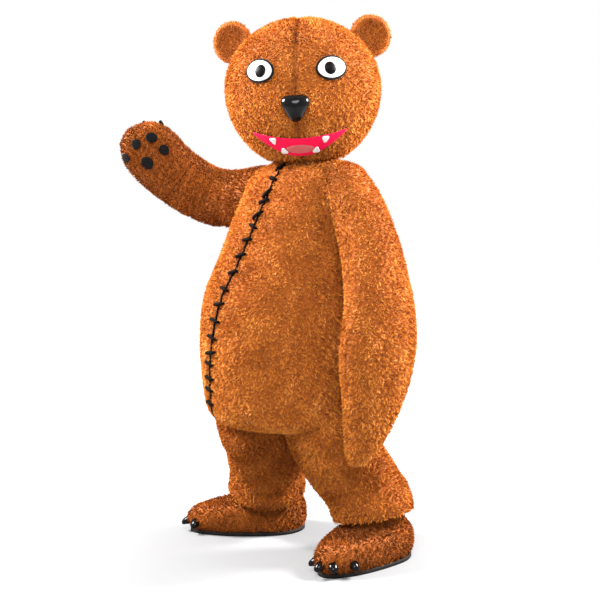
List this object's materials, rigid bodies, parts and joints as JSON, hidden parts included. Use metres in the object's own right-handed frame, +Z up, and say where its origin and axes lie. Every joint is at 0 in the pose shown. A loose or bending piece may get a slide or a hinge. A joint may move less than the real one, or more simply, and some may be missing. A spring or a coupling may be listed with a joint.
{
  "type": "bear mascot costume",
  "caption": "Full-body hollow plush bear suit with a round lift-off head, mitten paws, big belly and boots, one paw raised.",
  "frame": {"origin": "between the wearer's shoulders, 1.35 m above the floor, where the suit is carried", "axes": "+Z up; the suit's front faces -Y and +X is the wearer's left"},
  "size_m": [1.1227, 0.6757, 1.8344],
  "materials": {
    "plush": "curly short-pile plush, rust brown",
    "dark_plush": "short-pile plush, darker brown",
    "black_felt": "matte black felt",
    "white_felt": "white felt",
    "red_felt": "crimson felt",
    "pink_felt": "pink felt",
    "black_plastic": "moulded, glossy",
    "sole_rubber": "thin foam-rubber sheet"
  },
  "bodies": {
    "root": {"boot_left_sole": "sole_rubber", "boot_left_upper": "plush", "boot_right_sole": "sole_rubber", "boot_right_upper": "plush", "claw_foot_left_1": "black_plastic", "claw_foot_left_2": "black_plastic", "claw_foot_left_3": "black_plastic", "claw_foot_left_4": "black_plastic", "claw_foot_right_1": "black_plastic", "claw_foot_right_2": "black_plastic", "claw_foot_right_3": "black_plastic", "claw_foot_right_4": "black_plastic", "claw_hand_1": "black_plastic", "claw_hand_2": "black_plastic", "claw_hand_3": "black_plastic", "claw_hand_4": "black_plastic", "ear_left_back": "plush", "ear_left_front": "dark_plush", "ear_right_back": "plush", "ear_right_front": "dark_plush", "eye_left_pupil": "black_plastic", "eye_left_rim": "black_felt", "eye_left_white": "white_felt", "eye_right_pupil": "black_plastic", "eye_right_rim": "black_felt", "eye_right_white": "white_felt", "hand_back_left": "plush", "hand_back_right": "plush", "head_back_left": "plush", "head_back_right": "plush", "head_face_left": "plush", "head_face_right": "plush", "leg_left": "plush", "leg_right": "plush", "mouth_felt": "red_felt", "mouth_tongue": "pink_felt", "nose": "black_plastic", "pad_finger_1": "black_felt", "pad_finger_2": "black_felt", "pad_finger_3": "black_felt", "pad_finger_4": "black_felt", "pad_palm": "black_felt", "palm_left": "plush", "palm_right": "plush", "sleeve_left": "plush", "sleeve_right": "plush", "tooth_1": "white_felt", "tooth_2": "white_felt", "tooth_3": "white_felt", "tooth_4": "white_felt", "torso_back_left": "plush", "torso_back_right": "plush", "torso_front_left": "plush", "torso_front_right": "plush"}
  },
  "joints": []
}
